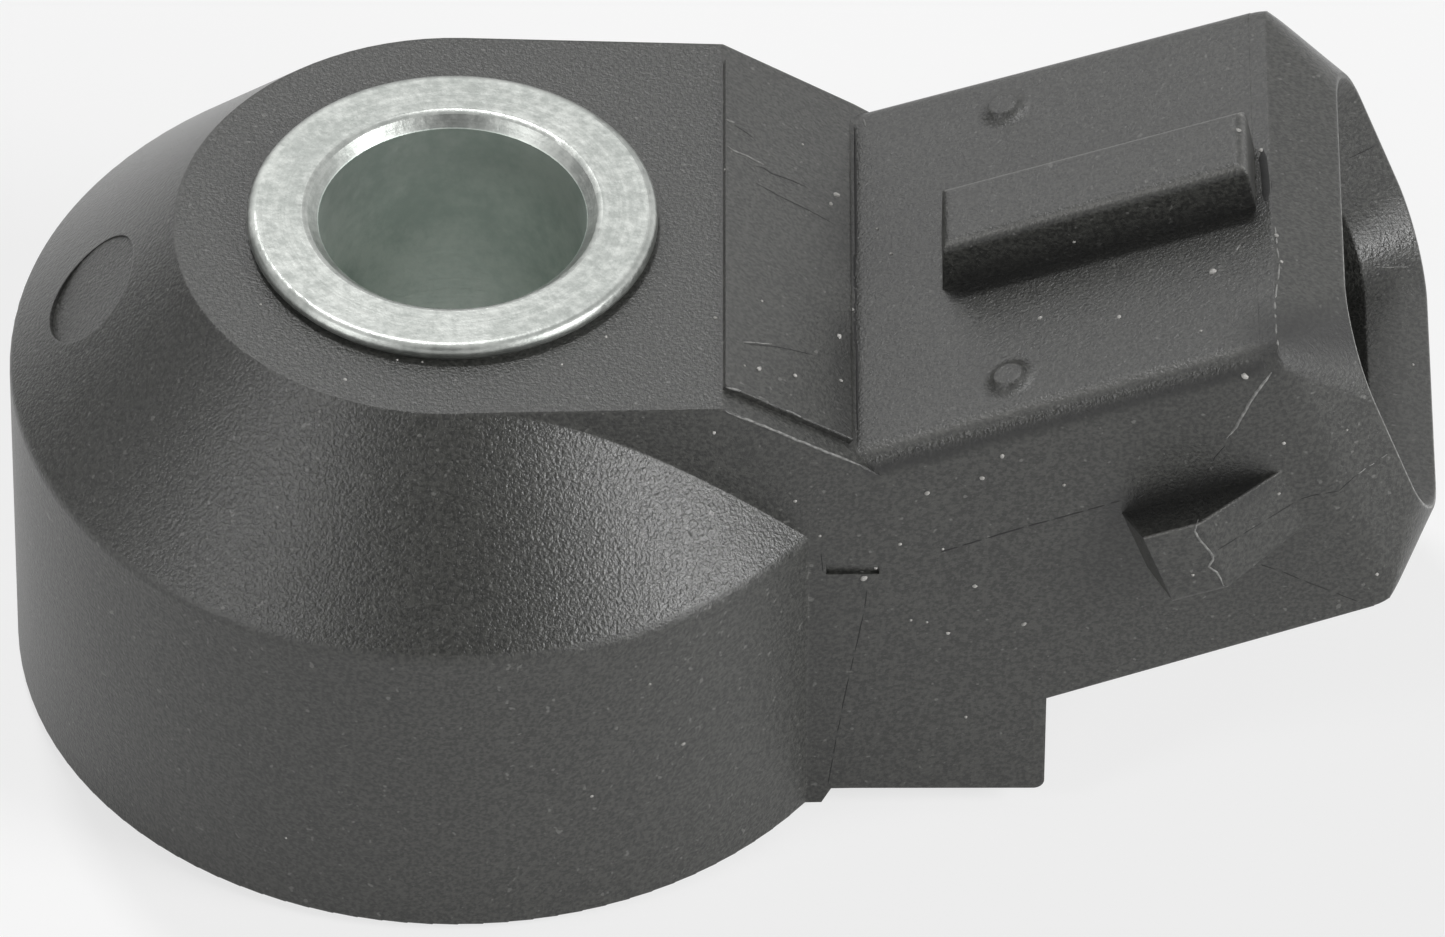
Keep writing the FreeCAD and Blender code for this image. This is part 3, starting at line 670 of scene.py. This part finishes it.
# Lamps: name, direction from the part, width in metres and power. All hang at the same distance.
LAMP_DISTANCE = 0.62
LAMP_AIM = Vector((0.008, 0, 0.01))
LAMPS = (
    ("key", (-0.14, 0.40, 0.91), 0.07, 1.38),
    ("back", (0, 0.8, 0.6), 0.34, 0.06),
    ("right", (0.77, -0.33, 0.54), 0.20, 1.68),
    ("right_middle", (0.80, -0.45, 0.38), 0.20, 0.80),
    ("right_low", (0.80, -0.55, 0.20), 0.20, 0.7),
    ("left", (-0.68, -0.45, 0.56), 0.15, 0.60),
    ("left_low", (-0.80, -0.58, 0.12), 0.20, 0.6),
    ("left_back", (-0.46, 0.73, 0.51), 0.34, 0.33),
    ("right_back", (0.67, 0.68, 0.30), 0.34, 0.20),
)


def floor_material():
    """Near-white floor that keeps the shadow, shown as white to the camera and in reflections, where painted
    shade darkens it round the part.
    """
    s = new_shader("floor")
    path = s.add("ShaderNodeLightPath").outputs
    mirrored_ray = s.math("ADD", path["Is Glossy Ray"], path["Is Transmission Ray"], clamp=True)
    seen = s.math("MULTIPLY", path["Is Camera Ray"], FLOOR_SEEN_WHITE)
    # Painted shade: the white that reflections show darkens round the part
    free = s.add("ShaderNodeAmbientOcclusion", {"Distance": FLOOR_SHADE_REACH}, samples=8).outputs["AO"]
    shown = s.math("MULTIPLY", s.math("MULTIPLY", mirrored_ray, FLOOR_MIRRORED_WHITE), free)
    diffuse = s.add("ShaderNodeBsdfDiffuse", {"Color": FLOOR_COLOUR}).outputs[0]
    white = s.add("ShaderNodeEmission", {"Color": grey(1.0), "Strength": 1.0}).outputs[0]
    mixed = s.add("ShaderNodeMixShader", {0: s.math("ADD", seen, shown), 1: diffuse, 2: white})
    s.add("ShaderNodeOutputMaterial", {"Surface": mixed.outputs[0]})
    return s.owner


def card_material(name):
    s = new_shader(name)
    dark = s.add("ShaderNodeBsdfDiffuse", {"Color": CARD_COLOUR})
    s.add("ShaderNodeOutputMaterial", {"Surface": dark.outputs[0]})
    return s.owner


def stage_plane(name, corners, material):
    mesh = bpy.data.meshes.new(name)
    mesh.from_pydata(corners, [], [(0, 1, 2, 3)])
    mesh.materials.append(material)
    plane = new_object(name, mesh)
    return plane


def make_floor():
    half = FLOOR_HALF
    corners = [(x, y, FLOOR_HEIGHT) for x, y in ((-half, -half), (half, -half), (half, half), (-half, half))]
    stage_plane("floor", corners, floor_material())


def make_dark_card(name, direction, distance, size):
    """Black card out of the camera's sight, which gives the glossy nylon something dark to mirror."""
    out = Vector(direction).normalized()
    across = Vector((0, 0, 1)).cross(out).normalized() * size / 2
    rise = out.cross(across)
    middle = out * distance
    corners = [middle - across - rise, middle + across - rise, middle + across + rise, middle - across + rise]
    card = stage_plane(name, corners, card_material(name))
    card.visible_camera = False
    card.visible_shadow = False


def make_world():
    """Surroundings that the camera and reflections show as white, and that light nothing else."""
    world = bpy.data.worlds.new("studio")
    bpy.context.scene.world = world
    s = Shader(world)
    path = s.add("ShaderNodeLightPath").outputs
    seen = s.math("ADD", path["Is Camera Ray"], path["Is Glossy Ray"])
    shown = s.math("ADD", seen, path["Is Transmission Ray"], clamp=True)
    background = s.add("ShaderNodeBackground", {"Color": grey(1.0), "Strength": shown})
    s.add("ShaderNodeOutputWorld", {"Surface": background.outputs[0]})


def make_lamp(name, direction, size, watts):
    """Square soft lamp that faces the part."""
    data = bpy.data.lights.new(name, "AREA")
    data.shape = "RECTANGLE"
    data.size = data.size_y = size
    data.energy = watts
    lamp = new_object(name, data)
    place = Vector(direction).normalized() * LAMP_DISTANCE
    lamp.location = place
    lamp.rotation_mode = "QUATERNION"
    lamp.rotation_quaternion = (place - LAMP_AIM).to_track_quat("Z", "Y")


make_camera()
finish_nodes()
make_lines()
make_rim_line()
make_dust()
make_floor()
for card in DARK_CARDS:
    make_dark_card(*card)
make_world()
for lamp in LAMPS:
    make_lamp(*lamp)
bpy.context.scene.view_settings.view_transform = "Standard"
